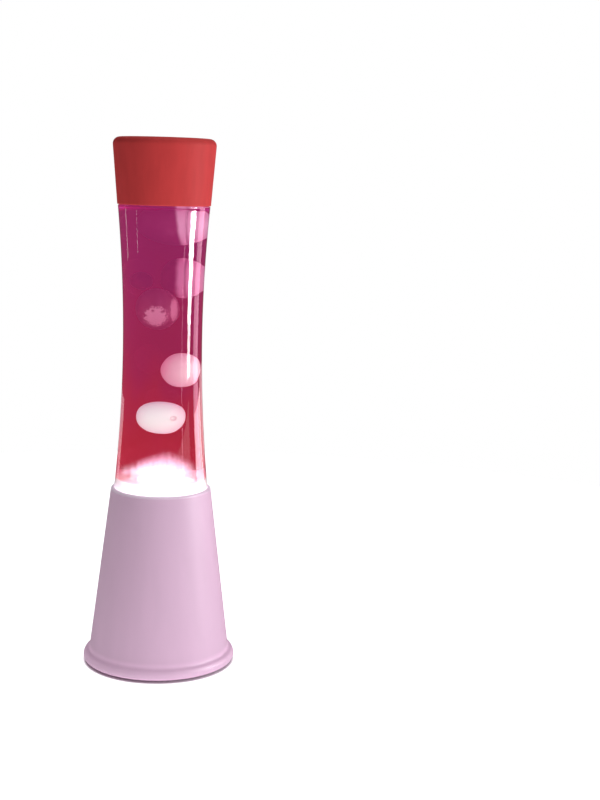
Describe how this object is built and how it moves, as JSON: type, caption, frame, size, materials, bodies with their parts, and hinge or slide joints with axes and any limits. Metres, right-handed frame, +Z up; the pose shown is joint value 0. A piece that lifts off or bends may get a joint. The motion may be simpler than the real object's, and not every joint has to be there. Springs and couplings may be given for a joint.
{
  "type": "lava lamp",
  "caption": "Lava lamp: an hourglass bottle of tinted liquid and drifting wax that lifts out of a tapered base with a reflector bulb inside, under a lift-off cap.",
  "frame": {"origin": "centre of the lamp's foot, on the surface that it stands on", "axes": "+Z up along the lamp's axis, the cord entry faces +Y, the front faces -Y"},
  "size_m": [0.115, 0.115, 0.395],
  "materials": {
    "base_plastic": "satin",
    "cap_plastic": "satin",
    "bottle_glass": "gloss",
    "tinted_liquid": "gloss",
    "wax": "satin",
    "lit_wax": "satin",
    "dark_plastic": "matte",
    "foot_rubber": "matte",
    "steel": "satin",
    "screw_steel": "polished",
    "shield_aluminium": "satin",
    "silicone": "matte",
    "holder_plastic": "satin",
    "brass": "satin",
    "crown_metal": "gloss",
    "bulb_glass": "satin",
    "bulb_metal": "polished",
    "insulator_glass": "gloss",
    "tungsten": "satin"
  },
  "bodies": {
    "base": {"base_cone": "base_plastic", "bottom_plate": "dark_plastic", "plate_screws": "screw_steel", "rubber_feet": "foot_rubber", "cord_gland": "dark_plastic", "bottle_seat": "steel", "seat_gasket": "silicone", "heat_shield": "shield_aluminium", "shield_rivets": "shield_aluminium", "lamp_holder": "holder_plastic", "holder_shell": "brass", "holder_contact": "brass", "holder_nut": "steel", "terminal_screws": "brass", "holder_bracket": "steel", "bracket_screws": "screw_steel"},
    "bulb": {"bulb_glass": "bulb_glass", "bulb_screw_cap": "bulb_metal", "bulb_insulator": "insulator_glass", "bulb_contact": "bulb_metal", "bulb_stem": "bulb_glass", "bulb_filament": "tungsten"},
    "bottle": {"glass_bottle": "bottle_glass", "crown_cap": "crown_metal", "crown_liner": "silicone", "lava_liquid": "tinted_liquid", "wax_pool": "lit_wax", "heat_coil": "steel"},
    "cap": {"top_cap": "cap_plastic"},
    "lower_wax": {"wax_blob_lower": "wax"},
    "middle_wax": {"wax_blob_middle": "wax"},
    "upper_wax": {"wax_blob_upper": "wax"},
    "rear_wax": {"wax_blob_rear": "wax"},
    "small_wax": {"wax_blob_small": "wax"},
    "top_wax": {"wax_top_mass": "wax"}
  },
  "joints": [
    {"name": "bottle_lift", "type": "slide", "parent": "base", "child": "bottle", "axis": [0, 0, 1], "range_m": [0, 0.04]},
    {"name": "cap_lift", "type": "slide", "parent": "bottle", "child": "cap", "axis": [0, 0, 1], "range_m": [0, 0.045]},
    {"name": "bulb_unscrew", "type": "hinge", "parent": "base", "child": "bulb", "pos_m": [0, 0, 0.05], "axis": [0, 0, 1], "range_deg": [0, 1800]},
    {"name": "lower_wax_drift", "type": "slide", "parent": "bottle", "child": "lower_wax", "axis": [0, 0, 1], "range_m": [-0.012, 0.006], "deforming": ["lava_liquid"]},
    {"name": "middle_wax_drift", "type": "slide", "parent": "bottle", "child": "middle_wax", "axis": [0, 0, 1], "range_m": [-0.006, 0.01], "deforming": ["lava_liquid"]},
    {"name": "upper_wax_drift", "type": "slide", "parent": "bottle", "child": "upper_wax", "axis": [0, 0, 1], "range_m": [-0.01, 0.004], "deforming": ["lava_liquid"]},
    {"name": "rear_wax_drift", "type": "slide", "parent": "bottle", "child": "rear_wax", "axis": [0, 0, 1], "range_m": [-0.0035, 0.003], "deforming": ["lava_liquid"]},
    {"name": "small_wax_drift", "type": "slide", "parent": "bottle", "child": "small_wax", "axis": [0, 0, 1], "range_m": [-0.014, 0.014], "deforming": ["lava_liquid"]},
    {"name": "top_wax_drift", "type": "slide", "parent": "bottle", "child": "top_wax", "axis": [0, 0, 1], "range_m": [-0.003, 0.0025], "deforming": ["lava_liquid"]}
  ]
}
